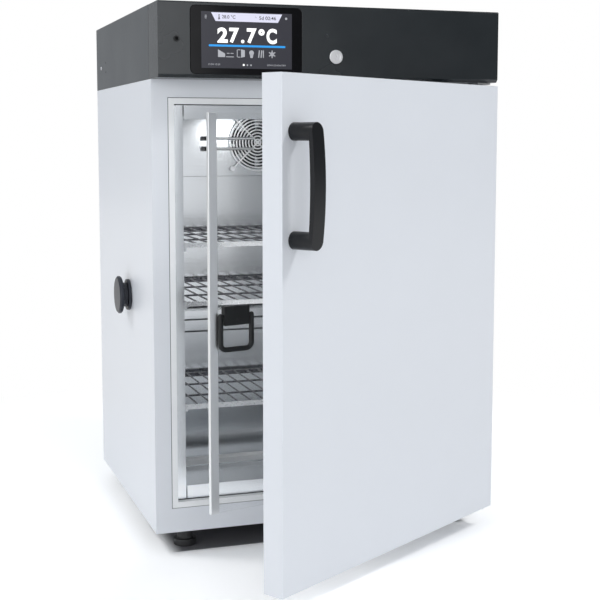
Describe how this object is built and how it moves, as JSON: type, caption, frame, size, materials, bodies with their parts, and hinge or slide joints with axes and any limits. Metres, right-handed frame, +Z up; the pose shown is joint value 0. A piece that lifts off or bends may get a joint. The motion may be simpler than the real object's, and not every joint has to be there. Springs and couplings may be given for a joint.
{
  "type": "cooled laboratory incubator",
  "caption": "Upright insulated laboratory incubator with a hinged outer door, an inner glass door, wire shelves in a stainless chamber and a control box on top.",
  "frame": {"origin": "on the floor, midway between the four feet", "axes": "+X to the right seen from the front, +Y to the back of the cabinet, +Z up"},
  "size_m": [0.634, 0.9185, 0.9205],
  "materials": {
    "white_paint": "powder coat, satin",
    "graphite_plastic": "fine texture",
    "graphite_paint": "powder coat, satin",
    "stainless": "polished sheet",
    "trim_plastic": "satin moulding",
    "black_plastic": "satin",
    "display_black": "glossy panel",
    "glass": "clear",
    "gasket_rubber": "soft black",
    "foot_rubber": "moulded",
    "foam": "rigid foam",
    "chrome": "polished",
    "aluminium": "anodised",
    "zinc": "zinc plated",
    "board": "circuit board",
    "liner_plastic": "smooth moulding",
    "plug_plastic": "soft touch",
    "compressor_paint": "gloss black"
  },
  "bodies": {
    "cabinet": {"left_side_panel": "white_paint", "right_side_panel": "white_paint", "base_plate": "zinc", "top_plate": "zinc", "rear_panel": "white_paint", "machine_grille": "white_paint", "front_frame": "white_paint", "frame_rivets": "white_paint", "opening_trim": "trim_plastic", "side_rim_strips": "stainless", "cross_rim_strips": "stainless", "chamber_liner": "stainless", "insulation": "foam", "fan_panel": "stainless", "rear_wall_panel": "stainless", "step_cover": "stainless", "fan_guard": "zinc", "fan_motor": "black_plastic", "sensor_clip": "black_plastic", "sensor_tubes": "stainless", "evaporator": "aluminium", "heater": "stainless", "left_shelf_rack": "stainless", "right_shelf_rack": "stainless", "port_sleeve": "plug_plastic", "feet": "foot_rubber", "compressor": "compressor_paint", "condenser": "aluminium", "condenser_fan_motor": "zinc", "control_fascia": "graphite_plastic", "display_glass": "display_black", "display_module": "black_plastic", "controller_board": "board", "service_port": "black_plastic", "head_shell": "graphite_paint", "head_screws": "zinc", "power_supply": "zinc", "lock_housing": "chrome", "power_inlet": "black_plastic", "door_hinges": "zinc", "glass_hinges": "zinc"},
    "outer_door": {"door_skin": "white_paint", "door_bushes": "liner_plastic", "door_liner": "liner_plastic", "door_foam": "foam", "door_gasket": "gasket_rubber", "door_handle": "black_plastic"},
    "glass_door": {"glass_pane": "glass", "glass_edge_profile": "aluminium", "glass_hinge_profile": "aluminium", "pull_plate": "black_plastic"},
    "pull_ring": {"ring_pull": "black_plastic"},
    "key_barrel": {"lock_barrel": "chrome"},
    "fan_rotor": {"circulation_fan": "black_plastic"},
    "condenser_rotor": {"condenser_fan": "black_plastic"},
    "plug": {"port_plug": "plug_plastic"},
    "rocker": {"power_rocker": "black_plastic"},
    "upper_shelf": {"shelf_top": "stainless"},
    "centre_shelf": {"shelf_middle": "stainless"},
    "lower_shelf": {"shelf_bottom": "stainless"}
  },
  "joints": [
    {"name": "outer_door_hinge", "type": "hinge", "parent": "cabinet", "child": "outer_door", "pos_m": [0.285, -0.2861, 0.4175], "axis": [0, 0, 1], "range_deg": [-32.64, 80]},
    {"name": "glass_door_hinge", "type": "hinge", "parent": "cabinet", "child": "glass_door", "pos_m": [0.2525, -0.255, 0.424], "axis": [0, 0, 1], "range_deg": [-15.2, 37.3]},
    {"name": "ring_pull_swing", "type": "hinge", "parent": "glass_door", "child": "pull_ring", "pos_m": [-0.19232, -0.38406, 0.4228], "axis": [-0.9651, -0.262, 0], "range_deg": [0, 90]},
    {"name": "key_turn", "type": "hinge", "parent": "cabinet", "child": "key_barrel", "pos_m": [0, -0.31, 0.8378], "axis": [0, 1, 0], "range_deg": [0, 90]},
    {"name": "fan_spin", "type": "hinge", "parent": "cabinet", "child": "fan_rotor", "pos_m": [0, 0.15, 0.696], "axis": [0, 1, 0], "continuous": true},
    {"name": "condenser_fan_spin", "type": "hinge", "parent": "cabinet", "child": "condenser_rotor", "pos_m": [0.13, 0.19, 0.144], "axis": [0, 1, 0], "continuous": true},
    {"name": "port_plug_pull", "type": "slide", "parent": "cabinet", "child": "plug", "axis": [-1, 0, 0], "range_m": [0, 0.05]},
    {"name": "power_rocker_tilt", "type": "hinge", "parent": "cabinet", "child": "rocker", "pos_m": [0.2, 0.2575, 0.874], "axis": [1, 0, 0], "range_deg": [0, 20]},
    {"name": "top_shelf_slide", "type": "slide", "parent": "cabinet", "child": "upper_shelf", "axis": [0, -1, 0], "range_m": [0, 0.018]},
    {"name": "middle_shelf_slide", "type": "slide", "parent": "cabinet", "child": "centre_shelf", "axis": [0, -1, 0], "range_m": [0, 0.018]},
    {"name": "bottom_shelf_slide", "type": "slide", "parent": "cabinet", "child": "lower_shelf", "axis": [0, -1, 0], "range_m": [0, 0.018]}
  ],
  "couplings": [
    {"joint": "glass_door_hinge", "follows": "outer_door_hinge", "ratio": 0.46538}
  ]
}
